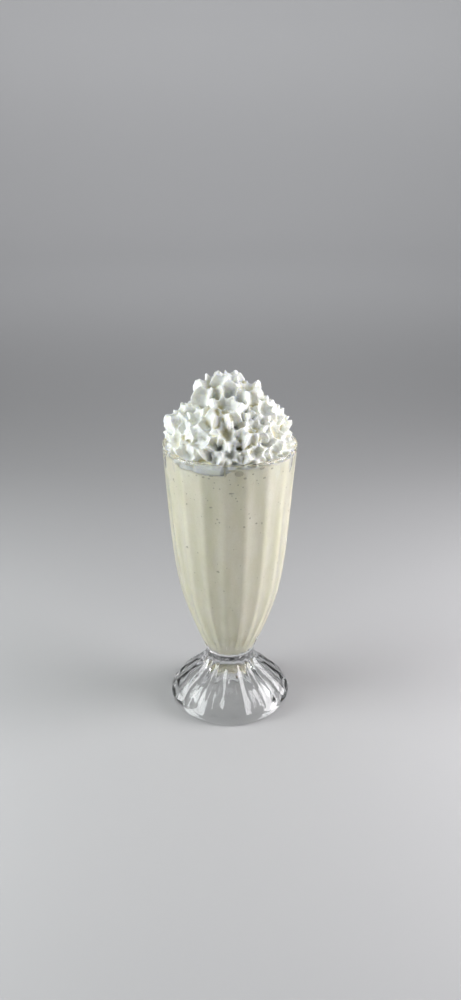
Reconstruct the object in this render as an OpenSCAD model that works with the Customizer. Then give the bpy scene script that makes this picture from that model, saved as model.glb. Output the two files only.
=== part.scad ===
// Vanilla milkshake in a footed soda fountain glass, with a heap of piped whipped cream.
// The origin is on the table, at the middle of the foot. Millimetres, +Z up.

/* [Glass] */
// Height of the glass, from the table to the rim
glass_h = 181; // [150:1:220]
// Diameter of the rim
rim_d = 82.6; // [76:0.2:100]
// Thickness of the wall at the rim
rim_wall = 2.2; // [1.6:0.1:3]
// Radius of the rounding along the rim
rim_round = 0.8; // [0.4:0.1:1]
// Thickness of the wall where the bowl leaves the neck, behind the flutes
low_wall = 3.4; // [2.8:0.1:4.2]
// Radius at which the bowl's outline turns from flaring to nearly upright
shoulder_r = 35; // [32:0.5:38]
// Height of that turn in the outline
shoulder_h = 84.5; // [74:0.5:94]

/* [Flutes] */
// Number of flutes round the bowl and round the foot
flutes = 18; // [12:1:24]
// Depth of a flute on the bowl
flute_depth = 1.3; // [0.5:0.1:1.8]
// Depth of a flute on the foot
foot_flute_depth = 1; // [0.4:0.1:1.5]
// Turn of the ridges about the glass's axis, in degrees
flute_turn = 5; // [0:1:19]
// Height of the smooth band under the rim
smooth_band = 22; // [12:1:40]
// Height over which the flutes fade into the smooth band
fade_h = 48; // [30:1:60]

/* [Foot] */
// Diameter of the foot
foot_d = 79; // [70:0.5:92]
// Height of the foot's rounded edge
edge_h = 5.2; // [3:0.1:7]
// How far the edge draws in where it meets the table
edge_tuck = 1.9; // [1:0.1:2.5]
// Width of the ring that stands on the table
stand_w = 2.4; // [1.5:0.1:4]
// Diameter of the neck
neck_d = 31.6; // [26:0.2:38]
// Height of the foot's dome, where it runs into the neck
dome_h = 35; // [30:0.5:36.5]
// Height at which the neck ends and the bowl starts
neck_h = 38; // [37:0.5:42]
// Height of the hollow under the foot
hollow_h = 25; // [18:0.5:30]

/* [Milkshake] */
// Height of the bowl's inner floor
floor_h = 36.5; // [34:0.5:42]
// Height of the rounded end of the milkshake
end_h = 10; // [7:0.5:14]
// Gap from the top of the milkshake up to the rim
fill_gap = 7; // [4:0.5:12]

/* [Whipped cream] */
// Height of the cream's peak above the rim
peak_h = 45; // [38:0.5:52]
// Clearance between the cream and the glass
cream_gap = 0.3; // [0.2:0.05:0.6]
// Rosettes in the lower ring
low_rosettes = 9; // [7:1:11]
// Radius of a rosette in the lower ring
low_rosette_r = 12.4; // [10:0.2:13.5]
// Rosettes in the upper ring
high_rosettes = 5; // [4:1:7]
// Radius of a rosette in the upper ring
high_rosette_r = 11.4; // [9:0.2:13]
// Radius of the rosette at the peak
peak_rosette_r = 12; // [9:0.2:14]
// Ridges that the star nozzle leaves on a rosette
nozzle_ridges = 7; // [5:1:9]
// Depth of those ridges
ridge_depth = 2.2; // [0.8:0.1:3]

/* [Hidden] */

steps_per_flute = 6;
bowl_rows = 10;
dome_rows = 7;
curve_rows = 14;
cream_columns = 60;
cream_rows = 35;
fine = 120;

rim_r = rim_d / 2;
foot_r = foot_d / 2;
neck_r = neck_d / 2;
shake_h = glass_h - fill_gap;
columns = flutes * steps_per_flute;

// ---- curves ----

// Point at share t of a cubic curve with four control points
function bezier(a, b, c, d, t) =
    pow(1 - t, 3) * a + 3 * t * pow(1 - t, 2) * b + 3 * t * t * (1 - t) * c + pow(t, 3) * d;

// Smooth rise from 0 to 1 between two values
function rise(low, high, x) =
    let (s = min(1, max(0, (x - low) / (high - low)))) s * s * (3 - 2 * s);

// Outline of the bowl over the ridges, as [radius, height], from the neck (t = 0) to the rim (t = 1)
shoulder = [shoulder_r, shoulder_h];
function bowl_point(t) = bezier([neck_r, neck_h], shoulder, shoulder, [rim_r, glass_h], t);

// Share t of the bowl's outline at height z, by halving
function bowl_share(z, low = 0, high = 1, turns = 16) =
    let (mid = (low + high) / 2)
    turns == 0 ? mid
    : bowl_point(mid)[1] < z ? bowl_share(z, mid, high, turns - 1)
    : bowl_share(z, low, mid, turns - 1);

// How deep the flutes are on the bowl at height z
fade_top = glass_h - smooth_band;
function bowl_flute(z) =
    flute_depth * rise(neck_h, neck_h + 10, z) * (1 - rise(fade_top - fade_h, fade_top, z));

// Inner radius of the bowl at height z: the outline less the wall and the flutes' depth
function wall_at(z) =
    let (s = (z - neck_h) / (glass_h - neck_h)) low_wall * (1 - s) + rim_wall * s;
function inner_r(z) =
    bowl_point(bowl_share(z))[0] - wall_at(z) - flute_depth * (1 - rise(fade_top - fade_h, glass_h, z));

// ---- the glass ----

// Rows of the outer surface, as [radius, height, flute depth], from the table to the rim
edge_rows = [
    [foot_r - edge_tuck, 0, 0],
    [foot_r - edge_tuck * 0.25, edge_h * 0.3, 0],
    [foot_r, edge_h * 0.65, 0]
];
dome_curve = [for (i = [0:dome_rows])
    let (t = i / dome_rows,
         p = bezier([foot_r - 0.1, edge_h], [foot_r - 2.2, dome_h * 0.45],
                    [neck_r + 0.2, dome_h * 0.69], [neck_r, dome_h], t))
    [p[0], p[1], foot_flute_depth * rise(0, 0.25, t) * (1 - rise(0.6, 1, t))]];
bowl_curve = [for (i = [0:bowl_rows])
    let (p = bowl_point(i / bowl_rows * 0.995)) [p[0], p[1], bowl_flute(p[1])]];
rim_rows = [
    [rim_r, glass_h - rim_round * 0.6, 0],
    [rim_r - rim_round * 0.4, glass_h, 0]
];
outer_rows = concat(edge_rows, dome_curve, bowl_curve, rim_rows);

// A flute is a hollow between two sharp ridges
function flute_share(angle) = abs(sin((angle - flute_turn) * flutes / 2));

module outer_form() {
    rows = len(outer_rows);
    points = concat(
        [for (row = outer_rows, c = [0:columns - 1])
            let (a = c * 360 / columns + flute_turn,
                 r = row[0] - row[2] * flute_share(a))
            [r * cos(a), r * sin(a), row[1]]],
        [[0, 0, 0], [0, 0, glass_h]]);
    base_mid = rows * columns;
    top_mid = base_mid + 1;
    sides = [for (i = [0:rows - 2], c = [0:columns - 1])
        let (n = (c + 1) % columns, a = i * columns, b = a + columns)
        each [[a + c, b + c, b + n], [a + c, b + n, a + n]]];
    ends = [for (c = [0:columns - 1])
        let (n = (c + 1) % columns, top = (rows - 1) * columns)
        each [[base_mid, c, n], [top_mid, top + n, top + c]]];
    polyhedron(points, concat(sides, ends), convexity = 6);
}

// Inner outline of the bowl from its floor up to height top, as [radius, height]
end_top = floor_h + end_h;
function inner_curve(top) =
    let (end = [inner_r(end_top), end_top],
         lean = [inner_r(end_top + 1) - inner_r(end_top), 1] * end_h * 0.5)
    concat(
        [for (i = [0:curve_rows / 2 - 1])
            bezier([0, floor_h], [end[0] * 0.62, floor_h], end - lean, end, i / (curve_rows / 2))],
        [for (i = [0:curve_rows])
            let (z = end_top + (top - end_top) * i / curve_rows) [inner_r(z), z]]);

module hollow() {
    mouth_r = foot_r - edge_tuck - stand_w;
    rotate_extrude($fn = fine)
        polygon(concat(
            [[0, -1], [mouth_r, -1]],
            [for (i = [0:curve_rows])
                bezier([mouth_r, 0], [mouth_r - 2.2, hollow_h * 0.56],
                       [neck_r + 3, hollow_h], [0, hollow_h], i / curve_rows)]));
}

module glass() {
    color([0.86, 0.92, 0.93, 0.45])
        difference() {
            outer_form();
            rotate_extrude($fn = fine)
                polygon(concat(
                    inner_curve(glass_h - rim_round),
                    [[inner_r(glass_h) + rim_round * 0.5, glass_h],
                     [inner_r(glass_h) + rim_round * 0.5, glass_h + 1],
                     [0, glass_h + 1]]));
            hollow();
        }
}

// ---- the milkshake ----

module milkshake() {
    color([0.93, 0.90, 0.80])
        rotate_extrude($fn = fine)
            polygon(concat(inner_curve(shake_h), [[0, shake_h]]));
}

// ---- the whipped cream ----

// Uneven share between -1 and 1 for the piece with number n
function uneven(n) = sin(n * 137.5 + 40);

// Each rosette is [middle, radius]; the rings lean a little to one side, as a hand pipes them
cream_mid = [0, 0, glass_h + 4];
low_ring = [for (i = [0:low_rosettes - 1])
    let (a = i * 360 / low_rosettes + 10, r = low_rosette_r + 0.5 * uneven(i),
         reach = rim_r - 4 - r + 0.6 * uneven(i + 3))
    [[reach * cos(a), reach * sin(a), glass_h + 10 + 1.6 * uneven(i + 7)], r]];
high_ring = [for (i = [0:high_rosettes - 1])
    let (a = i * 360 / high_rosettes + 35, r = high_rosette_r + 0.6 * uneven(i + 11),
         reach = high_rosette_r * 1.35)
    [[reach * cos(a) + 1.5, reach * sin(a), glass_h + peak_h * 0.5 + 2 * uneven(i + 5)], r]];
peak = [[[-3, -1, glass_h + peak_h - peak_rosette_r], peak_rosette_r]];
rosettes = concat(low_ring, high_ring, peak);

// How far a ray along unit vector d runs from the cream's middle to the far side of a rosette
function reach_to(d, rosette) =
    let (m = rosette[0] - cream_mid, along = m * d,
         inside = rosette[1] * rosette[1] - (m * m - along * along))
    inside <= 0 ? 0 : along + sqrt(inside);

// Nozzle ridges turn about a rosette's own axis, and curl as they leave its middle
function ridge(p, rosette) =
    let (axis = (rosette[0] - cream_mid) / norm(rosette[0] - cream_mid),
         side = cross([0, 0.2, 1], axis) / norm(cross([0, 0.2, 1], axis)),
         v = p - rosette[0], x = v * side, y = v * cross(axis, side),
         away = norm([x, y]) / rosette[1])
    ridge_depth * rise(0.1, 0.6, away)
        * (abs(sin((atan2(y, x) + away * 70) * nozzle_ridges / 2)) - 1);

function cream_point(angle, lift) =
    let (d = [cos(lift) * cos(angle), cos(lift) * sin(angle), sin(lift)],
         reaches = [for (rosette = rosettes) reach_to(d, rosette)],
         far = max(reaches),
         chosen = rosettes[search([far], reaches)[0]],
         p = cream_mid + d * far)
    cream_mid + d * (far + ridge(p, chosen));

// The heap narrows to what fits inside the rim, and ends flat on the milkshake
module whipped_cream() {
    seat_r = inner_r(shake_h) - cream_gap;
    lip_r = inner_r(glass_h) - cream_gap;
    low_lift = 4;
    heap = [for (i = [0:cream_rows - 1], c = [0:cream_columns - 1])
        let (lift = low_lift + (90 - low_lift) * i / cream_rows) cream_point(c * 360 / cream_columns, lift)];
    plug = [for (row = [[seat_r, shake_h], [lip_r, glass_h], [lip_r, glass_h + 1]], c = [0:cream_columns - 1])
        let (a = c * 360 / cream_columns) [row[0] * cos(a), row[0] * sin(a), row[1]]];
    rows = cream_rows + 3;
    points = concat(plug, heap, [[0, 0, shake_h], cream_point(0, 90)]);
    base_mid = rows * cream_columns;
    sides = [for (i = [0:rows - 2], c = [0:cream_columns - 1])
        let (n = (c + 1) % cream_columns, a = i * cream_columns, b = a + cream_columns)
        each [[a + c, b + c, b + n], [a + c, b + n, a + n]]];
    ends = [for (c = [0:cream_columns - 1])
        let (n = (c + 1) % cream_columns, top = (rows - 1) * cream_columns)
        each [[base_mid, c, n], [base_mid + 1, top + n, top + c]]];
    color([0.96, 0.96, 0.94])
        polyhedron(points, concat(sides, ends), convexity = 10);
}

glass();
milkshake();
whipped_cream();
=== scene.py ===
"""Vanilla milkshake in a footed soda fountain glass, heaped with piped whipped cream.

Shapes are worked out in millimetres, with the middle of the foot at the origin and +Z up, and each
finished mesh is scaled to metres once. The viewer stands on the -Y side.
"""
import math

import bmesh
import bpy
import numpy as np
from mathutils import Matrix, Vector, noise


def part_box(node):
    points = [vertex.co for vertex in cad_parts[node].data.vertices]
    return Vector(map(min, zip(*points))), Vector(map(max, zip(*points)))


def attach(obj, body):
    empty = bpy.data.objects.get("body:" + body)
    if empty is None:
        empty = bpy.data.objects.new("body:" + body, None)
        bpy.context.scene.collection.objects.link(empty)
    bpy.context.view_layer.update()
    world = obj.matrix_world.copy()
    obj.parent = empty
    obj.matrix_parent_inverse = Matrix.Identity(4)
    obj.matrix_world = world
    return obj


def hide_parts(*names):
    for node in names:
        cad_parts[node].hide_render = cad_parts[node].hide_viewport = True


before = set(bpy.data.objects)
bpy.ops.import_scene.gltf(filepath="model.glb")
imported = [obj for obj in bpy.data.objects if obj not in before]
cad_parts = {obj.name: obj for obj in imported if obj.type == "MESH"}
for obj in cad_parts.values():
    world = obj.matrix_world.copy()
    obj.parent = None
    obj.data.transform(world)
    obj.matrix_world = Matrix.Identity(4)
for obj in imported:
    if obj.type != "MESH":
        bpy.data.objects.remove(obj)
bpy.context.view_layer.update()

MM = 0.001
VIEWER = -90.0                       # bearing of the viewer round the glass, in degrees

# ---- sizes, in millimetres ----

GLASS_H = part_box("glass")[1].z / MM
RIM_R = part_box("glass")[1].x / MM
FLOOR_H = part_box("milkshake")[0].z / MM
SHAKE_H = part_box("milkshake")[1].z / MM
CREAM_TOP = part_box("whipped_cream")[1].z / MM
NECK_R = 15.8
NECK_H = 38.0                        # where the bowl starts
SHOULDER = (35.0, 84.5)              # radius and height where the bowl turns from flaring to upright
FOOT_R = 39.5
EDGE_H = 5.2                         # height of the foot's rounded edge
EDGE_TUCK = 1.9                      # how far the edge tucks in below
STAND_W = 2.4                        # width of the ring that the glass stands on
DOME_H = 35.0                        # top of the domed foot
HOLLOW_H = 25.0                      # top of the hollow under the foot
RIM_WALL = 2.2
LOW_WALL = 3.4
END_H = 10.0                         # height of the rounded end of the milkshake
FLUTES = 18
FLUTE_TURN = 5.0                     # bearing of the first ridge, in degrees
FLUTE_DEPTH = 1.3
FOOT_FLUTE_DEPTH = 2.0
RIDGE_SOFTNESS = 0.06                # how rounded a ridge is, as a share of the flute's depth
FADE_TOP = GLASS_H - 4.0             # above this the bowl is smooth
FADE_LOW = FADE_TOP - 40.0           # below this the flutes have their full depth
COLUMNS = FLUTES * 14                # points round the glass
LIP_Z = GLASS_H - 1.4                # where the wall gives way to the round lip


# ---- small helpers ----

def rise(low, high, x):
    """Smooth step from 0 to 1 between two values."""
    s = np.clip((np.asarray(x, float) - low) / (high - low), 0, 1)
    return s * s * (3 - 2 * s)


def bezier(a, b, c, d, t):
    """Points of a cubic curve at shares t."""
    t = np.asarray(t, float)[:, None]
    a, b, c, d = (np.array(p, float) for p in (a, b, c, d))
    return (1 - t) ** 3 * a + 3 * t * (1 - t) ** 2 * b + 3 * t * t * (1 - t) * c + t ** 3 * d


def mesh_object(name, points_mm, faces):
    """A smooth-shaded mesh object in metres from points in millimetres."""
    mesh = bpy.data.meshes.new(name)
    mesh.from_pydata((np.asarray(points_mm) * MM).tolist(), [], faces)
    shade_smooth(mesh)
    piece = bpy.data.objects.new(name, mesh)
    bpy.context.collection.objects.link(piece)
    return piece


def revolve(outline, columns):
    """Points and faces of an outline turned about the axis. Its two ends lie on the axis."""
    body = outline[1:-1]
    angle = np.arange(columns) * 2 * math.pi / columns + math.radians(FLUTE_TURN)
    ring = np.stack([np.cos(angle), np.sin(angle)], 1)
    points = [np.array([[0, 0, outline[0][1]]])]
    for radius, height in body:
        points.append(np.column_stack([ring * radius, np.full(columns, height)]))
    points.append(np.array([[0, 0, outline[-1][1]]]))
    faces = []
    last = 1 + len(body) * columns
    top = 1 + (len(body) - 1) * columns
    for c in range(columns):
        n = (c + 1) % columns
        faces.append((0, 1 + n, 1 + c))
        faces.append((last, top + c, top + n))
        for i in range(len(body) - 1):
            a, b = 1 + i * columns, 1 + (i + 1) * columns
            faces.append((a + c, a + n, b + n, b + c))
    return np.concatenate(points), faces


def face_outwards(piece):
    """Turns a closed mesh the right way round if its volume comes out negative."""
    edit = bmesh.new()
    edit.from_mesh(piece.data)
    if edit.calc_volume(signed=True) < 0:
        bmesh.ops.reverse_faces(edit, faces=edit.faces)
        edit.to_mesh(piece.data)
    edit.free()


def set_points(mesh, points):
    mesh.vertices.foreach_set("co", np.asarray(points, np.float32).ravel())
    mesh.update()


def get_points(mesh):
    points = np.empty(len(mesh.vertices) * 3, np.float32)
    mesh.vertices.foreach_get("co", points)
    return points.reshape(-1, 3).astype(float)


def triangle_count(mesh):
    return sum(len(face.vertices) - 2 for face in mesh.polygons)


def add_attribute(mesh, name, values):
    """Stores one number for each point of the mesh."""
    attribute = mesh.attributes.new(name, "FLOAT", "POINT")
    attribute.data.foreach_set("value", np.asarray(values, np.float32))


def work_in_modifiers(piece):
    """Replaces the piece's mesh with what its modifiers make of it, and takes them off."""
    graph = bpy.context.evaluated_depsgraph_get()
    shown = piece.evaluated_get(graph)
    mesh = bpy.data.meshes.new_from_object(shown, preserve_all_data_layers=True, depsgraph=graph)
    old = piece.data
    piece.modifiers.clear()
    piece.data = mesh
    bpy.data.meshes.remove(old)
    mesh.name = piece.name


def shade_smooth(mesh):
    mesh.polygons.foreach_set("use_smooth", [True] * len(mesh.polygons))


# ---- material nodes ----

def new_material(name):
    """An empty material with a Principled shader, as (material, nodes, links, principled)."""
    material = bpy.data.materials.new(name)
    material.use_nodes = True
    nodes, links = material.node_tree.nodes, material.node_tree.links
    return material, nodes, links, nodes["Principled BSDF"]


def group_socket(tree, name, way, kind, value=None):
    """Adds a named input or output to a node group."""
    socket = tree.interface.new_socket(name, in_out=way, socket_type=kind)
    if value is not None:
        socket.default_value = value


def surface_grain_group():
    """Two sizes of noise in one: a mask for colour or roughness, and a bumped normal."""
    tree = bpy.data.node_groups.new("Surface grain", "ShaderNodeTree")
    group_socket(tree, "Coarse scale", "INPUT", "NodeSocketFloat", 100.0)
    group_socket(tree, "Fine scale", "INPUT", "NodeSocketFloat", 1000.0)
    group_socket(tree, "Fine share", "INPUT", "NodeSocketFloat", 0.5)
    group_socket(tree, "Height", "INPUT", "NodeSocketFloat", 0.0002)
    group_socket(tree, "Mask", "OUTPUT", "NodeSocketFloat")
    group_socket(tree, "Normal", "OUTPUT", "NodeSocketVector")
    nodes, links = tree.nodes, tree.links
    given, out = nodes.new("NodeGroupInput"), nodes.new("NodeGroupOutput")
    place = nodes.new("ShaderNodeTexCoord")
    layers = []
    for scale_name, detail in (("Coarse scale", 3.0), ("Fine scale", 2.0)):
        layer = nodes.new("ShaderNodeTexNoise")
        layer.inputs["Detail"].default_value = detail
        links.new(place.outputs["Object"], layer.inputs["Vector"])
        links.new(given.outputs[scale_name], layer.inputs["Scale"])
        layers.append(layer)
    mix = nodes.new("ShaderNodeMix")
    links.new(given.outputs["Fine share"], mix.inputs["Factor"])
    links.new(layers[0].outputs["Fac"], mix.inputs["A"])
    links.new(layers[1].outputs["Fac"], mix.inputs["B"])
    bump = nodes.new("ShaderNodeBump")
    links.new(mix.outputs["Result"], bump.inputs["Height"])
    links.new(given.outputs["Height"], bump.inputs["Distance"])
    links.new(mix.outputs["Result"], out.inputs["Mask"])
    links.new(bump.outputs["Normal"], out.inputs["Normal"])
    return tree


GRAIN = surface_grain_group()


def grain(nodes, coarse, fine, fine_share, height):
    """One use of the grain group with its own values."""
    node = nodes.new("ShaderNodeGroup")
    node.node_tree = GRAIN
    for name, value in (("Coarse scale", coarse), ("Fine scale", fine),
                        ("Fine share", fine_share), ("Height", height)):
        node.inputs[name].default_value = value
    return node


def ramp(nodes, links, source, stops):
    """A colour ramp fed by source. Each stop is (place, colour)."""
    node = nodes.new("ShaderNodeValToRGB")
    while len(node.color_ramp.elements) < len(stops):
        node.color_ramp.elements.new(0.5)
    for element, (place, colour) in zip(node.color_ramp.elements, stops):
        element.position = place
        element.color = (*colour, 1.0)
    links.new(source, node.inputs["Fac"])
    return node.outputs["Color"]


def mix_colour(nodes, links, factor, a, b):
    """Mixes two colours, each a socket or an RGB triple."""
    node = nodes.new("ShaderNodeMix")
    node.data_type = "RGBA"
    colour_a, colour_b, result = node.inputs[6], node.inputs[7], node.outputs[2]
    for socket, value in ((colour_a, a), (colour_b, b)):
        if isinstance(value, tuple):
            socket.default_value = (*value, 1.0)
        else:
            links.new(value, socket)
    links.new(factor, node.inputs["Factor"])
    return result


def clear_glass():
    """Pressed glass: clear, with the faint waviness of a mould and a little haze from handling."""
    material, nodes, links, shader = new_material("Pressed clear glass")
    shader.inputs["Base Color"].default_value = (0.985, 0.992, 0.990, 1)
    shader.inputs["IOR"].default_value = 1.5
    shader.inputs["Transmission Weight"].default_value = 1.0
    wave = grain(nodes, 60, 220, 0.25, 0.00018)
    links.new(wave.outputs["Normal"], shader.inputs["Normal"])
    haze = ramp(nodes, links, wave.outputs["Mask"], [(0.35, (0.0,) * 3), (0.75, (0.06,) * 3)])
    links.new(haze, shader.inputs["Roughness"])
    return material


def vanilla_shake():
    """Thick pale cream drink with fine froth and faint upright streaks where it has run down."""
    material, nodes, links, shader = new_material("Vanilla shake")
    froth = grain(nodes, 90, 900, 0.5, 0.0001)
    base = ramp(nodes, links, froth.outputs["Mask"],
                [(0.30, (0.815, 0.78, 0.63)), (0.70, (0.895, 0.865, 0.735))])
    place = nodes.new("ShaderNodeTexCoord")
    tall = nodes.new("ShaderNodeMapping")
    tall.inputs["Scale"].default_value = (1.0, 1.0, 0.16)
    links.new(place.outputs["Object"], tall.inputs["Vector"])
    runs = nodes.new("ShaderNodeTexNoise")
    runs.inputs["Scale"].default_value = 130
    runs.inputs["Detail"].default_value = 4
    links.new(tall.outputs["Vector"], runs.inputs["Vector"])
    share = ramp(nodes, links, runs.outputs["Fac"], [(0.42, (0.0,) * 3), (0.66, (0.55,) * 3)])
    colour = mix_colour(nodes, links, share, base, (0.74, 0.73, 0.53))
    links.new(colour, shader.inputs["Base Color"])
    links.new(froth.outputs["Normal"], shader.inputs["Normal"])
    shader.inputs["Roughness"].default_value = 0.45
    shader.inputs["Subsurface Weight"].default_value = 0.2
    shader.inputs["Subsurface Radius"].default_value = (0.003, 0.0026, 0.0015)
    shader.inputs["Subsurface Scale"].default_value = 1.0
    return material


def whipped_cream_and_fold_shade():
    """Soft white foam, with painted shade in its folds: a little greyer, and in patches a warm yellow.
    """
    material, nodes, links, shader = new_material("Whipped cream")
    foam = grain(nodes, 600, 1700, 0.6, 0.0006)
    # Where the painted shade in the folds turns warm yellow instead of grey.
    warm_shade_patches = grain(nodes, 75, 160, 0.2, 0.0)
    # How deep each point lies in a fold: the mask of the painted shade.
    painted_fold_shade = nodes.new("ShaderNodeAttribute")
    painted_fold_shade.attribute_name = "painted_fold_shade"
    plain = ramp(nodes, links, foam.outputs["Mask"],
                 [(0.30, (0.76, 0.78, 0.755)), (0.65, (0.83, 0.845, 0.82))])
    # Colours of the painted shade: grey in the folds, warm yellow in patches.
    painted_warm_shade = ramp(nodes, links, warm_shade_patches.outputs["Mask"],
                [(0.46, (0.71, 0.73, 0.67)), (0.55, (0.71, 0.655, 0.33))])
    colour = mix_colour(nodes, links, painted_fold_shade.outputs["Fac"], plain, painted_warm_shade)
    links.new(colour, shader.inputs["Base Color"])
    links.new(foam.outputs["Normal"], shader.inputs["Normal"])
    shader.inputs["Roughness"].default_value = 0.62
    shader.inputs["Subsurface Weight"].default_value = 0.55
    shader.inputs["Subsurface Radius"].default_value = (0.0030, 0.0027, 0.0018)
    shader.inputs["Subsurface Scale"].default_value = 1.0
    return material


def bubble_painted_shade():
    """Painted shade of an air bubble that lies against the glass: darker and more olive than the
    drink.
    """
    material, nodes, links, shader = new_material("Bubble painted shade")
    tone = grain(nodes, 300, 1500, 0.5, 0.00005)
    # Painted shade: the bubble is coloured darker than the drink.
    colour = ramp(nodes, links, tone.outputs["Mask"],
                  [(0.3, (0.47, 0.45, 0.33)), (0.7, (0.61, 0.58, 0.45))])
    links.new(colour, shader.inputs["Base Color"])
    shader.inputs["Roughness"].default_value = 0.3
    return material


# ---- the glass ----

bowl_line = bezier((NECK_R, NECK_H), SHOULDER, SHOULDER, (RIM_R, GLASS_H), np.linspace(0, 1, 400))


def outer_r(z):
    """Radius of the bowl over its ridges at height z."""
    return np.interp(z, bowl_line[:, 1], bowl_line[:, 0])


def bowl_flute(z):
    """Depth of the bowl's flutes at height z."""
    return FLUTE_DEPTH * rise(NECK_H, NECK_H + 10, z) * (1 - rise(FADE_LOW, FADE_TOP, z))


def inner_r(z):
    """Radius of the bowl's smooth inside at height z."""
    share = (np.asarray(z, float) - NECK_H) / (GLASS_H - NECK_H)
    wall = LOW_WALL * (1 - share) + RIM_WALL * share
    return outer_r(z) - wall - FLUTE_DEPTH * (1 - rise(FADE_LOW, GLASS_H, z))


def inner_line(top, rows):
    """Inside of the bowl from its floor up to height top, as rows of radius and height."""
    end_z = FLOOR_H + END_H
    end = np.array([inner_r(end_z), end_z])
    lean = np.array([inner_r(end_z + 1) - inner_r(end_z), 1.0]) * END_H * 0.5
    cup = bezier((0, FLOOR_H), (end[0] * 0.62, FLOOR_H), end - lean, end, np.linspace(0, 1, 16)[:-1])
    z = np.linspace(end_z, top, rows)
    return np.concatenate([cup, np.column_stack([inner_r(z), z])])


def glass_outline():
    """Closed outline of the glass, from the top of the hollow foot round to the bowl's floor.

    Each row is radius, height and the depth of the flutes there.
    """
    mouth = FOOT_R - EDGE_TUCK - STAND_W
    under = bezier((0, HOLLOW_H), (NECK_R + 3, HOLLOW_H), (mouth - 2.2, HOLLOW_H * 0.56),
                   (mouth, 0.4), np.linspace(0, 1, 26))
    stand = np.array([(mouth + 0.4, 0), (FOOT_R - EDGE_TUCK - 0.3, 0)])
    edge = bezier((FOOT_R - EDGE_TUCK, 0.1), (FOOT_R - 0.4, 0.7), (FOOT_R, EDGE_H * 0.5),
                  (FOOT_R - 0.1, EDGE_H), np.linspace(0, 1, 9))[:-1]
    dome_t = np.linspace(0, 1, 30)
    dome = bezier((FOOT_R - 0.1, EDGE_H), (FOOT_R - 2.2, DOME_H * 0.45),
                  (NECK_R + 0.2, DOME_H * 0.69), (NECK_R, DOME_H), dome_t)
    dome_flute = FOOT_FLUTE_DEPTH * rise(0, 0.08, dome_t) * (1 - 0.75 * rise(0.55, 1, dome_t))
    neck = np.array([(NECK_R - 0.1, DOME_H + 1), (NECK_R - 0.1, NECK_H - 0.7)])
    bowl_z = np.concatenate([NECK_H + np.linspace(0, 12, 14)[:-1],
                             np.linspace(NECK_H + 12, LIP_Z, 66)])
    bowl = np.column_stack([outer_r(bowl_z), bowl_z])
    lip_r, lip_z = (RIM_R + inner_r(GLASS_H)) / 2, GLASS_H - RIM_WALL / 2
    turn = np.radians(np.linspace(0, 180, 11))
    lip = np.column_stack([lip_r + RIM_WALL / 2 * np.cos(turn),
                           lip_z + RIM_WALL / 2 * np.sin(turn)])
    inside = inner_line(LIP_Z, 60)[::-1]
    parts = [(under, 0), (stand, 0), (edge, 0), (dome, dome_flute), (neck, 0),
             (bowl, bowl_flute(bowl_z)), (lip, 0), (inside, 0)]
    return np.concatenate([np.column_stack([rows, np.zeros(len(rows)) + depth])
                           for rows, depth in parts])


def flute_tree():
    """Geometry nodes that press a ring of flutes into a turned wall.

    A point moves in by its own depth times its share: none on a ridge, all of it in mid flute.
    """
    tree = bpy.data.node_groups.new("Press flutes", "GeometryNodeTree")
    group_socket(tree, "Geometry", "INPUT", "NodeSocketGeometry")
    group_socket(tree, "Flutes", "INPUT", "NodeSocketInt", 12)
    group_socket(tree, "First ridge", "INPUT", "NodeSocketFloat", 0.0)
    group_socket(tree, "Ridge softness", "INPUT", "NodeSocketFloat", 0.1)
    group_socket(tree, "Material", "INPUT", "NodeSocketMaterial")
    group_socket(tree, "Geometry", "OUTPUT", "NodeSocketGeometry")
    nodes, links = tree.nodes, tree.links
    given, out = nodes.new("NodeGroupInput"), nodes.new("NodeGroupOutput")

    def math_node(operation, a, b=None):
        node = nodes.new("ShaderNodeMath")
        node.operation = operation
        for socket, value in zip(node.inputs, (a, b)):
            if value is None:
                continue
            if isinstance(value, (int, float)):
                socket.default_value = value
            else:
                links.new(value, socket)
        return node.outputs[0]

    place = nodes.new("GeometryNodeInputPosition")
    split = nodes.new("ShaderNodeSeparateXYZ")
    links.new(place.outputs[0], split.inputs[0])
    bearing = math_node("ARCTAN2", split.outputs["Y"], split.outputs["X"])
    phase = math_node("SUBTRACT", bearing, given.outputs["First ridge"])
    phase = math_node("MULTIPLY", phase, given.outputs["Flutes"])
    swing = math_node("SINE", math_node("MULTIPLY", phase, 0.5))
    soft = math_node("POWER", given.outputs["Ridge softness"], 2.0)
    share = math_node("SQRT", math_node("ADD", math_node("POWER", swing, 2.0), soft))
    share = math_node("SUBTRACT", share, given.outputs["Ridge softness"])
    depth = nodes.new("GeometryNodeInputNamedAttribute")
    depth.data_type = "FLOAT"
    depth.inputs["Name"].default_value = "flute_depth"
    cut = math_node("MULTIPLY", math_node("MULTIPLY", depth.outputs["Attribute"], share), -1.0)
    flat = nodes.new("ShaderNodeCombineXYZ")
    links.new(split.outputs["X"], flat.inputs["X"])
    links.new(split.outputs["Y"], flat.inputs["Y"])
    unit = nodes.new("ShaderNodeVectorMath")
    unit.operation = "NORMALIZE"
    links.new(flat.outputs[0], unit.inputs[0])
    shift = nodes.new("ShaderNodeVectorMath")
    shift.operation = "SCALE"
    links.new(unit.outputs[0], shift.inputs[0])
    links.new(cut, shift.inputs["Scale"])
    move = nodes.new("GeometryNodeSetPosition")
    links.new(given.outputs["Geometry"], move.inputs["Geometry"])
    links.new(shift.outputs[0], move.inputs["Offset"])
    whole = nodes.new("GeometryNodeRealizeInstances")
    links.new(move.outputs[0], whole.inputs[0])
    finish = nodes.new("GeometryNodeSetMaterial")
    links.new(whole.outputs[0], finish.inputs["Geometry"])
    links.new(given.outputs["Material"], finish.inputs["Material"])
    links.new(finish.outputs[0], out.inputs[0])
    return tree


FLUTE_TREE = flute_tree()


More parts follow.
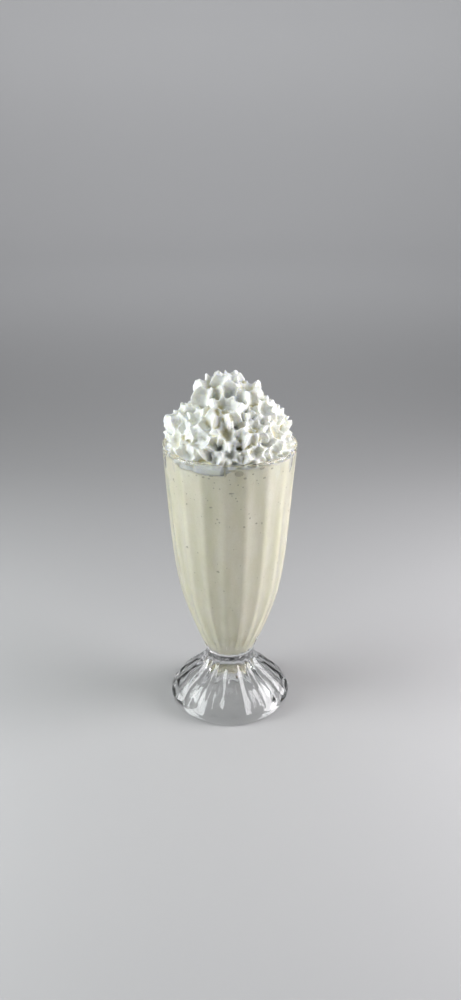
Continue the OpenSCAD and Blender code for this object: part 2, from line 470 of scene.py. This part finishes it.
def set_inputs(modifier, tree, **values):
    """Sets a geometry nodes modifier's inputs by the sockets' identifiers."""
    sockets = {item.name: item.identifier for item in tree.interface.items_tree
               if item.item_type == "SOCKET" and item.in_out == "INPUT"}
    for name, value in values.items():
        modifier[sockets[name.replace("_", " ")]] = value


def press_flutes(piece, depths_mm, softness, material):
    """Gives a turned piece its flutes and its material, and leaves a plain mesh."""
    add_attribute(piece.data, "flute_depth", np.asarray(depths_mm) * MM)
    modifier = piece.modifiers.new("Flutes", "NODES")
    modifier.node_group = FLUTE_TREE
    set_inputs(modifier, FLUTE_TREE, Flutes=FLUTES, First_ridge=math.radians(FLUTE_TURN),
               Ridge_softness=softness, Material=material)
    work_in_modifiers(piece)
    piece.data.attributes.remove(piece.data.attributes["flute_depth"])


def per_point(rows, columns):
    """Spreads one value for each outline row over that row's ring of points."""
    return np.concatenate([rows[:1], np.repeat(rows[1:-1], columns), rows[-1:]])


def make_glass(material):
    """The glass: one closed wall turned about the axis, with its flutes pressed in."""
    outline = glass_outline()
    points, faces = revolve(outline[:, :2], COLUMNS)
    piece = mesh_object("soda_glass", points, faces)
    press_flutes(piece, per_point(outline[:, 2], COLUMNS), RIDGE_SOFTNESS, material)
    face_outwards(piece)
    return piece


# ---- the milkshake ----

INTO_WALL = 0.25                     # how far the drink and the cream reach into the wall
SHAKE_FLUTE = 1.5                    # depth of the flutes that the drink shows through the wall
SHAKE_SOFTNESS = 0.05                # how rounded the drink's ridges are
EDGE_RISE = 4.2                      # how far the drink's edge stands up away from its low stretch
LOW_BEARING = VIEWER - 26            # middle of that low stretch


def shake_edge_h(bearing):
    """Height of the drink's edge against the glass. It stands lowest just left of the viewer."""
    off = (np.asarray(bearing) - LOW_BEARING + 180) % 360 - 180
    wave = 0.5 * np.sin(np.radians(bearing * 5)) + 0.35 * np.sin(np.radians(bearing * 11 + 60))
    return SHAKE_H + EDGE_RISE * rise(18, 32, np.abs(off)) + wave


def shake_flute(z):
    """Depth of the drink's flutes at height z."""
    return SHAKE_FLUTE * rise(NECK_H + 2, NECK_H + 14, z) * (1 - 0.6 * rise(FADE_LOW, FADE_TOP, z))


def off_middle(radius):
    """0 over the middle of the glass, 1 near its wall."""
    return rise(8, 30, radius)


def make_milkshake(material):
    """The drink: it fills the bowl, reaches just into its wall and shows the wall's flutes."""
    rows = inner_line(SHAKE_H, 70)
    depth = shake_flute(rows[:, 1])
    radius = rows[:, 0] + np.where(rows[:, 0] > 1, INTO_WALL, 0) + depth
    side = np.column_stack([radius, rows[:, 1]])
    top = np.column_stack([np.linspace(side[-1, 0] - 0.6, 0, 9), np.full(9, SHAKE_H)])
    outline = np.concatenate([side, top])
    columns = FLUTES * 10
    points, faces = revolve(outline, columns)
    bearing = np.degrees(np.arctan2(points[:, 1], points[:, 0]))
    lift = rise(SHAKE_H - 22, SHAKE_H, points[:, 2])
    lift *= off_middle(np.hypot(points[:, 0], points[:, 1]))
    points[:, 2] += lift * (shake_edge_h(bearing) - SHAKE_H)
    piece = mesh_object("milkshake_body", points, faces)
    depths = np.concatenate([depth, np.zeros(len(top))])
    press_flutes(piece, per_point(depths, columns), SHAKE_SOFTNESS, material)
    face_outwards(piece)
    return piece


# ---- the bubbles ----

# Larger bubbles on the viewer's side, as bearing and height of the place, width and height
FRONT_BUBBLES = [
    (-113, 172.5, 1.6, 1.1), (-108, 172.0, 1.2, 0.9), (-77, 172.5, 1.5, 1.0), (-59, 171.0, 1.6, 1.1),
    (-149, 164.5, 1.4, 1.2), (-89, 163.0, 2.8, 0.8), (-108, 153.0, 2.0, 0.9), (-133, 152.0, 1.3, 1.2),
    (-101, 145.5, 1.5, 1.0), (-99, 143.5, 1.1, 0.9), (-103, 142.5, 1.0, 0.8), (-72, 146.0, 1.2, 1.0),
    (-64, 141.5, 1.3, 1.2), (-58, 141.0, 1.1, 1.4), (-76, 140.5, 1.5, 1.0), (-124, 120.0, 1.1, 0.9),
    (-101, 109.0, 2.6, 1.0), (-136, 122.0, 1.6, 1.2), (-82, 175.5, 4.0, 2.6), (-94, 176.5, 0.8, 4.0),
    (-62, 177.5, 2.6, 1.2), (-126, 178.2, 5.0, 0.8), (-141, 176.0, 2.8, 1.2), (-88, 177.6, 3.4, 0.8),
    (-106, 173.6, 2.2, 0.8), (-119, 172.8, 1.2, 0.8), (-70, 174.6, 1.0, 0.8), (-52, 176.0, 1.6, 0.9),
]
FRONT_SWELL = 1.35                   # how much the larger bubbles are swollen to show
BUBBLES_ROUND = 260                  # smaller ones scattered over the whole drink
BUBBLE_THICK = 0.45
BUBBLE_SINK = 0.05                   # how far a bubble's middle lies inside the drink's surface


def scatter_tree():
    """Geometry nodes that put a flattened bubble on each point, turned to face outwards."""
    tree = bpy.data.node_groups.new("Scatter bubbles", "GeometryNodeTree")
    group_socket(tree, "Geometry", "INPUT", "NodeSocketGeometry")
    group_socket(tree, "Thickness", "INPUT", "NodeSocketFloat", 0.4)
    group_socket(tree, "Material", "INPUT", "NodeSocketMaterial")
    group_socket(tree, "Geometry", "OUTPUT", "NodeSocketGeometry")
    nodes, links = tree.nodes, tree.links
    given, out = nodes.new("NodeGroupInput"), nodes.new("NodeGroupOutput")

    def stored(name):
        node = nodes.new("GeometryNodeInputNamedAttribute")
        node.data_type = "FLOAT"
        node.inputs["Name"].default_value = name
        return node.outputs["Attribute"]

    ball = nodes.new("GeometryNodeMeshIcoSphere")
    ball.inputs["Radius"].default_value = 0.5
    ball.inputs["Subdivisions"].default_value = 2
    size = nodes.new("ShaderNodeCombineXYZ")
    links.new(stored("bubble_width"), size.inputs["X"])
    links.new(stored("bubble_height"), size.inputs["Y"])
    links.new(given.outputs["Thickness"], size.inputs["Z"])
    place = nodes.new("GeometryNodeInputPosition")
    flat = nodes.new("ShaderNodeVectorMath")
    flat.operation = "MULTIPLY"
    flat.inputs[1].default_value = (1, 1, 0)
    links.new(place.outputs[0], flat.inputs[0])
    face = nodes.new("FunctionNodeAlignRotationToVector")
    face.axis = "Z"
    links.new(flat.outputs[0], face.inputs["Vector"])
    upright = nodes.new("FunctionNodeAlignRotationToVector")
    upright.axis = "Y"
    upright.pivot_axis = "Z"
    upright.inputs["Vector"].default_value = (0, 0, 1)
    links.new(face.outputs[0], upright.inputs["Rotation"])
    copies = nodes.new("GeometryNodeInstanceOnPoints")
    links.new(given.outputs["Geometry"], copies.inputs["Points"])
    links.new(ball.outputs["Mesh"], copies.inputs["Instance"])
    links.new(upright.outputs[0], copies.inputs["Rotation"])
    links.new(size.outputs[0], copies.inputs["Scale"])
    whole = nodes.new("GeometryNodeRealizeInstances")
    links.new(copies.outputs[0], whole.inputs[0])
    finish = nodes.new("GeometryNodeSetMaterial")
    links.new(whole.outputs[0], finish.inputs["Geometry"])
    links.new(given.outputs["Material"], finish.inputs["Material"])
    links.new(finish.outputs[0], out.inputs[0])
    return tree


def bubble_rows(rng):
    """Every bubble as bearing, place, width and height. They gather under the cream."""
    rows = [(bearing, z, FRONT_SWELL * width, FRONT_SWELL * height)
            for bearing, z, width, height in FRONT_BUBBLES]
    for _ in range(BUBBLES_ROUND):
        width = rng.uniform(0.4, 1.15)
        rows.append((rng.uniform(-180, 180), SHAKE_H - 2 - 115 * rng.random() ** 2.2, width,
                     width * rng.uniform(0.6, 1.0)))
    return np.array(rows)


def drink_r(bearing, z):
    """Radius of the drink's fluted surface."""
    swing = np.abs(np.sin(np.radians(bearing - FLUTE_TURN) * FLUTES / 2))
    return inner_r(z) + INTO_WALL + shake_flute(z) * (1 - swing)


def make_bubbles(material):
    """The bubbles that lie in the drink's surface against the glass."""
    rows = bubble_rows(np.random.default_rng(5))
    bearing, z = rows[:, 0], rows[:, 1]
    radius = drink_r(bearing, z) - BUBBLE_SINK
    angle = np.radians(bearing)
    points = np.column_stack([radius * np.cos(angle), radius * np.sin(angle), z])
    piece = mesh_object("milkshake_bubbles", points, [])
    add_attribute(piece.data, "bubble_width", rows[:, 2] * MM)
    add_attribute(piece.data, "bubble_height", rows[:, 3] * MM)
    tree = scatter_tree()
    modifier = piece.modifiers.new("Bubbles", "NODES")
    modifier.node_group = tree
    set_inputs(modifier, tree, Thickness=BUBBLE_THICK * MM, Material=material)
    work_in_modifiers(piece)
    for name in ("bubble_width", "bubble_height"):
        if name in piece.data.attributes:
            piece.data.attributes.remove(piece.data.attributes[name])
    shade_smooth(piece.data)
    return piece


# ---- the whipped cream ----

# Squirts of cream that the viewer sees, as bearing, distance from the axis, height above the rim,
# radius and number of petals
FRONT_SQUIRTS = [
    (-97, 23.0, 24.5, 10.0, 8), (-132, 13.0, 34.0, 9.8, 8), (-100, 5.0, 38.0, 8.0, 7),
    (-54, 15.5, 33.0, 8.0, 8), (-41, 24.5, 22.0, 8.2, 7), (0, 27.0, 13.5, 8.8, 8),
    (-165, 27.5, 17.0, 9.0, 7), (-129, 26.5, 18.5, 8.2, 7), (-93, 29.5, 14.0, 7.4, 7),
    (-66, 28.5, 14.5, 8.4, 8), (-40, 30.5, 10.5, 8.2, 7), (-150, 31.5, 5.5, 8.6, 8),
    (-118, 30.5, 7.0, 8.4, 8), (-91, 32.0, 2.5, 6.6, 7), (-66, 32.0, 3.0, 7.2, 7),
    (-22, 31.5, 3.0, 8.6, 8), (178, 31.0, 8.0, 8.6, 8), (-69, 22.5, 24.5, 5.4, 6),
    (-14, 18.5, 24.0, 7.2, 7), (-156, 14.5, 24.0, 7.2, 7),
]
# Rings of squirts on the far side, as bearings, distance, height and radius
RINGS_BEHIND = [
    (np.linspace(26, 152, 5), 30.5, 5.5, 9.2),
    (np.linspace(40, 142, 4), 24.5, 15.5, 8.8),
    (np.array([30.0, 85.0, 150.0]), 12.0, 26.0, 8.4),
]
# Ropes of cream laid between the squirts: first and last bearing, distance and height at each end,
# and radius
ROPES = [(-150, -104, 29.5, 12.5, 31.0, 6.0, 3.6)]
RIM_SQUIRTS = 14                     # small ones that lean on the rim all round
HEART = (0.0, 0.0, -14.0)            # point, from the rim's middle, that the squirts lean away from
# Dome of the core, as slope from the heart in degrees and distance from it
CORE_SHAPE = ((24, 33.5), (32, 35), (40, 36), (50, 37), (60, 39), (70, 41.5), (80, 44), (89, 45))
INTO_DRINK = 0.6                     # how far the cream reaches into the drink
CREAM_VOXEL = 0.45
CREAM_TRIANGLES = 190000             # the most triangles that the cream may keep
# Depth of fold at which the cream's painted shade is full.
FULL_SHADE_FOLD_DEPTH = 0.75                     # depth at which a fold counts as deep

# Pockets of air between the cream and the wall, as bearing, width in degrees and depth
AIR_POCKETS = ((-94, 2.2, 3.2), (-82, 4.0, 3.4), (-62, 3.0, 2.2), (-124, 3.0, 2.0),
               (-138, 2.5, 1.8), (-46, 3.0, 2.0))

# Section of a squirt, from its hollow middle over the crest and down its outside: radius, height,
# how far the petals stand out, and how far they stand up, all as shares of its radius
SQUIRT_SECTION = np.array([
    (0.00, 0.22, 0.00, 0.00), (0.20, 0.22, 0.04, 0.00), (0.36, 0.36, 0.09, 0.03),
    (0.50, 0.58, 0.16, 0.12), (0.66, 0.70, 0.25, 0.28), (0.84, 0.58, 0.32, 0.24),
    (1.00, 0.32, 0.36, 0.10), (1.08, -0.05, 0.32, 0.00), (1.04, -0.42, 0.22, 0.00),
    (0.85, -0.75, 0.10, 0.00), (0.45, -0.95, 0.04, 0.00), (0.00, -1.00, 0.00, 0.00),
])


def across_axes(axis):
    """Two directions square to an axis and to each other."""
    up = np.array(axis, float) / np.linalg.norm(axis)
    side = np.cross(up, (0.1, 0.2, 1.0))
    side /= np.linalg.norm(side)
    return up, side, np.cross(up, side)


def grid_faces(rows, columns):
    """Faces of a tube of points, rows by columns, closed round its columns."""
    return [(i * columns + c, (i + 1) * columns + c, (i + 1) * columns + (c + 1) % columns,
             i * columns + (c + 1) % columns) for i in range(rows - 1) for c in range(columns)]


def squirt(centre, axis, radius, petals, rng):
    """One squirt from a star nozzle: a hollow flower of sharp petals that curl about its axis."""
    steps = np.linspace(0, len(SQUIRT_SECTION) - 1, 44)
    rows = np.column_stack([np.interp(steps, np.arange(len(SQUIRT_SECTION)), column)
                            for column in SQUIRT_SECTION.T])
    columns = petals * 12
    turn = np.arange(columns) * 2 * math.pi / columns
    start = rng.uniform(0, 6.28)
    curl = rng.uniform(0.3, 0.8) * rng.choice([1, 1, -1])
    length = rng.uniform(0.6, 1.4, petals)
    lean = rng.uniform(-0.22, 0.22, 2)
    squash = 1 + 0.13 * np.sin(2 * turn + rng.uniform(0, 6))
    squash += 0.07 * np.sin(3 * turn + rng.uniform(0, 6))
    up, side, across = across_axes(axis)
    points = []
    open_up = rng.uniform(0.9, 1.25)
    for i, (r, h, out, lift) in enumerate(rows):
        r *= open_up + (1 - open_up) * float(rise(0.35, 0.8, r))
        local = turn * petals + start
        petal = (np.floor(local / (2 * math.pi) + 0.5).astype(int)) % petals
        sharp = 1 - np.abs(np.sin(local / 2)) ** 0.62
        reach = r * squash * (1 + out * (length[petal] * sharp * 1.4 - 0.45))
        high = h + lift * sharp * length[petal]
        high = high + 0.6 * r * (lean[0] * np.cos(turn) + lean[1] * np.sin(turn))
        angle = turn + curl * i / len(rows)
        ring = (reach * np.cos(angle))[:, None] * side + (reach * np.sin(angle))[:, None] * across
        points.append(np.array(centre) + radius * (ring + high[:, None] * up))
    return np.concatenate(points), grid_faces(len(rows), columns)


def rope(start_bearing, end_bearing, start_out, start_h, end_out, end_h, radius, rng):
    """A ridged rope of cream laid round the heap, wavy and twisted, with pinched ends."""
    rows, ridges = 60, 7
    columns = ridges * 8
    t = np.linspace(0, 1, rows)
    bearing = np.radians(start_bearing + (end_bearing - start_bearing) * t)
    wave = rng.uniform(0, 6)
    out = start_out + (end_out - start_out) * t + 0.9 * np.sin(t * 14 + wave)
    path = np.column_stack([out * np.cos(bearing), out * np.sin(bearing),
                            GLASS_H + start_h + (end_h - start_h) * t + 0.8 * np.sin(t * 11 + wave)])
    ahead = np.gradient(path, axis=0)
    ahead /= np.linalg.norm(ahead, axis=1)[:, None]
    side = np.cross(ahead, (0, 0, 1.0))
    side /= np.linalg.norm(side, axis=1)[:, None]
    up = np.cross(side, ahead)
    turn = np.arange(columns) * 2 * math.pi / columns
    sharp = 1 - np.abs(np.sin(turn * ridges / 2)) ** 0.8
    points = []
    for i in range(rows):
        swell = radius * math.sqrt(max(0.0, 1 - (2 * t[i] - 1) ** 4))
        swell *= 1 + 0.12 * math.sin(t[i] * 19 + wave)
        reach = swell * (0.82 + 0.42 * sharp)
        angle = turn + 5.0 * t[i]
        points.append(path[i] + (reach * np.cos(angle))[:, None] * side[i]
                      + (reach * np.sin(angle))[:, None] * up[i])
    return np.concatenate(points), grid_faces(rows, columns)


def cream_squirts(rng):
    """Every squirt of the heap as (centre, axis, radius, petals). Every third one holds a bud."""
    rows = list(FRONT_SQUIRTS)
    for bearings, distance, height, radius in RINGS_BEHIND:
        rows += [(b, distance, height, radius, 8) for b in bearings]
    for i in range(RIM_SQUIRTS):
        rows.append((360 * i / RIM_SQUIRTS + rng.uniform(-6, 6), rng.uniform(32.5, 34),
                     rng.uniform(-2.5, 0.0), rng.uniform(5.2, 6.6), int(rng.integers(6, 9))))
    heart = np.array(HEART)
    made = []
    for i, (bearing, distance, height, radius, petals) in enumerate(rows):
        a = math.radians(bearing)
        place = np.array([distance * math.cos(a), distance * math.sin(a), height])
        axis = place - heart + rng.uniform(-5, 5, 3)
        made.append((place + (0, 0, GLASS_H), axis, radius, petals))
        if i % 3 == 0:
            up, side, across = across_axes(axis)
            bud = place + radius * (0.14 * up + rng.uniform(-0.2, 0.2) * side
                                    + rng.uniform(-0.2, 0.2) * across)
            made.append((bud + (0, 0, GLASS_H), axis, radius * 0.40, 6))
    return made


def cream_core():
    """The mass of cream under the squirts: a dome on a plug that fills the glass down to the drink."""
    plug_r = inner_r(GLASS_H) + 1.0
    outline = [(0, SHAKE_H - 4), (plug_r, SHAKE_H - 4), (plug_r, GLASS_H - 4),
               (plug_r - 3, GLASS_H - 2.5)]
    for lift, reach in CORE_SHAPE:
        a = math.radians(lift)
        outline.append((reach * math.cos(a), GLASS_H + HEART[2] + reach * math.sin(a)))
    return revolve(np.array(outline), 72)


def voxel_merge(piece, size_mm):
    """Melts overlapping closed shapes into one skin."""
    modifier = piece.modifiers.new("Merge", "REMESH")
    modifier.mode = "VOXEL"
    modifier.voxel_size = size_mm * MM
    modifier.use_smooth_shade = True
    work_in_modifiers(piece)


def keep_main_skin(piece):
    """Drops the specks and closed pockets that the merging leaves apart from the main skin."""
    edit = bmesh.new()
    edit.from_mesh(piece.data)
    left = set(edit.verts)
    main = set()
    while left:
        start = left.pop()
        island = {start}
        ends = [start]
        while ends:
            vert = ends.pop()
            near = {edge.other_vert(vert) for edge in vert.link_edges} & left
            left -= near
            island |= near
            ends.extend(near)
        if len(island) > len(main):
            main = island
    bmesh.ops.delete(edit, geom=[vert for vert in edit.verts if vert not in main], context="VERTS")
    edit.to_mesh(piece.data)
    edit.free()


def thin_out(piece, most):
    """Collapses edges until the mesh has no more triangles than it may."""
    now = triangle_count(piece.data)
    modifier = piece.modifiers.new("Thin out", "DECIMATE")
    modifier.ratio = min(1.0, most / now)
    work_in_modifiers(piece)


def relax(points, edges, turns, share=0.5):
    """Laplacian smoothing: each turn moves a point towards the mean of its neighbours."""
    count = np.bincount(edges.ravel(), minlength=len(points))[:, None]
    for _ in range(turns):
        total = np.zeros_like(points)
        for axis in range(3):
            total[:, axis] = (np.bincount(edges[:, 0], points[edges[:, 1], axis], len(points))
                              + np.bincount(edges[:, 1], points[edges[:, 0], axis], len(points)))
        points = points + share * (total / np.maximum(count, 1) - points)
    return points


def foam(points, normals):
    """Fine uneven grain of the foam, as a shift of each point along its normal."""
    shift = [0.24 * noise.noise(Vector(p) * 0.5) - 0.40 * abs(noise.noise(Vector(p) * 0.9))
             + 0.26 * noise.noise(Vector(p) * 1.5) for p in points]
    return points + normals * np.array(shift)[:, None]


def mesh_edges(mesh):
    edges = np.empty(len(mesh.edges) * 2, np.int64)
    mesh.edges.foreach_get("vertices", edges)
    return edges.reshape(-1, 2)


def mesh_normals(mesh):
    normals = np.empty(len(mesh.vertices) * 3, np.float32)
    mesh.vertex_normals.foreach_get("vector", normals)
    return normals.reshape(-1, 3).astype(float)


def air_gap(bearing, z):
    """Depth of the pockets of air between the cream and the wall at the viewer's side."""
    depth = 0
    for middle, width, deep in AIR_POCKETS:
        depth = depth + deep * np.exp(-(((bearing - middle) / width) ** 2))
    return depth * (1 - rise(GLASS_H - 1.5, GLASS_H + 2.0, z)) * rise(SHAKE_H - 0.5, SHAKE_H + 1.5, z)


def fit_in_glass(points):
    """Keeps the cream in the CAD box, pressed just into the wall below the rim, and on the drink."""
    x, y, z = points.T
    radius = np.hypot(x, y)
    bearing = np.degrees(np.arctan2(y, x))
    wall = np.where(z < GLASS_H - 1.2, inner_r(np.minimum(z, GLASS_H)) + INTO_WALL,
                    inner_r(GLASS_H) + INTO_WALL + rise(GLASS_H - 1.2, GLASS_H + 0.4, z) * 1.6)
    wall = np.minimum(wall, RIM_R - 0.4) - air_gap(bearing, z)
    scale = np.minimum(1, wall / np.maximum(radius, 1e-6))
    side = off_middle(radius)
    floor = shake_edge_h(bearing) * side + SHAKE_H * (1 - side) - INTO_DRINK
    z = np.minimum(np.maximum(z, floor), CREAM_TOP - 0.05)
    return np.column_stack([x * scale, y * scale, z])


def joined(parts):
    """Points and faces of several shapes as one."""
    points, faces, start = [], [], 0
    for part_points, part_faces in parts:
        points.append(part_points)
        faces += [tuple(start + i for i in face) for face in part_faces]
        start += len(part_points)
    return np.concatenate(points), faces


def mark_painted_fold_shade(mesh, points, edges):
    """Stores how deep each point lies in a fold, 0 on the crests and 1 in the deep hollows, as the
    mask of the cream's painted shade.
    """
    sunk = ((relax(points, edges, 40) - points) * mesh_normals(mesh)).sum(1)
    sunk = relax(sunk[:, None].repeat(3, 1), edges, 3)[:, 0]
    add_attribute(mesh, "painted_fold_shade", np.clip(sunk / FULL_SHADE_FOLD_DEPTH, 0, 1) ** 1.4)


def make_cream(material):
    """The heap of cream: squirts on a core, melted into one skin and given its grain."""
    rng = np.random.default_rng(12)
    parts = [cream_core()] + [squirt(*row, rng) for row in cream_squirts(rng)]
    parts += [rope(*row, rng) for row in ROPES]
    piece = mesh_object("piped_cream", *joined(parts))
    voxel_merge(piece, CREAM_VOXEL)
    keep_main_skin(piece)
    thin_out(piece, CREAM_TRIANGLES)
    edges = mesh_edges(piece.data)
    fine = relax(get_points(piece.data) / MM, edges, 1, 0.3)
    fine = foam(fine, mesh_normals(piece.data))
    fine = fit_in_glass(fine)
    set_points(piece.data, fine * MM)
    # Marks the folds for the cream's painted shade.
    mark_painted_fold_shade(piece.data, fine, edges)
    shade_smooth(piece.data)
    piece.data.materials.clear()
    piece.data.materials.append(material)
    face_outwards(piece)
    return piece


# ---- studio ----

def studio_paper(colour):
    """Matt pale paper, very slightly uneven in tone."""
    material, nodes, links, shader = new_material("Studio paper")
    tone = grain(nodes, 3, 40, 0.3, 0.0)
    darker = tuple(0.99 * share for share in colour)
    shade = ramp(nodes, links, tone.outputs["Mask"], [(0.3, darker), (0.7, colour)])
    links.new(shade, shader.inputs["Base Color"])
    shader.inputs["Roughness"].default_value = 0.55
    return material


def make_cove():
    """A round floor that curves up into a wall all round, so that no corner or horizon shows."""
    floor_r, bend, wall = 1900.0, 700.0, 2600.0
    outline = [(0, 0)] + [(r, 0) for r in (300, 900, floor_r - 200)]
    outline += [(floor_r + bend * math.sin(a), bend - bend * math.cos(a))
                for a in np.radians(np.arange(0, 91, 10))]
    outline += [(floor_r + bend, wall)]
    points, faces = revolve(np.array(outline + [(0, wall)]), 64)
    lid = len(points) - 1
    cove = mesh_object("studio_cove", points[:lid], [f for f in faces if lid not in f])
    cove.data.materials.append(studio_paper((0.46, 0.46, 0.465)))


def area_light(name, place, aim, size, power, colour):
    """A soft square of light at place, turned to aim. Power is in watts."""
    light = bpy.data.lights.new(name, "AREA")
    light.shape = "RECTANGLE"
    light.size, light.size_y = size
    light.energy = power
    light.color = colour
    lamp = bpy.data.objects.new(name, light)
    lamp.location = place
    lamp.rotation_euler = (Vector(aim) - Vector(place)).to_track_quat("-Z", "Y").to_euler()
    bpy.context.collection.objects.link(lamp)


def make_lights():
    middle = (0, 0, 0.13)
    area_light("right_softbox", (0.58, -0.06, 0.27), middle, (0.45, 0.50), 6.6, (1.0, 0.98, 1.0))
    area_light("left_softbox", (-0.58, -0.14, 0.27), middle, (0.40, 0.50), 5.0, (0.97, 1.0, 0.995))
    area_light("top_light", (-0.18, -0.12, 0.95), middle, (0.6, 0.6), 2.0, (0.97, 1.0, 1.0))
    area_light("backdrop_light", (0, 1.1, 1.5), (0, 2.4, 0.9), (2.0, 0.6), 24.0, (0.97, 0.98, 1.0))
    world = bpy.data.worlds.new("Studio air")
    world.use_nodes = True
    world.node_tree.nodes["Background"].inputs["Color"].default_value = (0.93, 0.95, 1.0, 1)
    world.node_tree.nodes["Background"].inputs["Strength"].default_value = 0.10
    bpy.context.scene.world = world


def make_camera():
    """A camera a forearm's length away, looking down on the glass."""
    place, pitch = (0.0004, -0.545, 0.376), 23.2
    data = bpy.data.cameras.new("View")
    data.lens = 34.2
    data.sensor_width = 36.0
    data.clip_start = 0.01
    camera = bpy.data.objects.new("View", data)
    camera.location = place
    camera.rotation_euler = (math.radians(90 - pitch), 0, 0)
    bpy.context.collection.objects.link(camera)
    bpy.context.scene.camera = camera


# ---- build ----

glass = make_glass(clear_glass())
shake = make_milkshake(vanilla_shake())
bubbles = make_bubbles(bubble_painted_shade())
cream = make_cream(whipped_cream_and_fold_shade())
for piece, node, slot in ((glass, "glass", "clear_glass"), (shake, "milkshake", "vanilla_shake"),
                          (bubbles, "milkshake", "vanilla_shake"),
                          (cream, "whipped_cream", "whipped_cream")):
    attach(piece, "root")
    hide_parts(node)
    print(piece.name, "triangles", triangle_count(piece.data))

make_cove()
make_lights()
make_camera()
bpy.context.scene.view_settings.view_transform = "Standard"
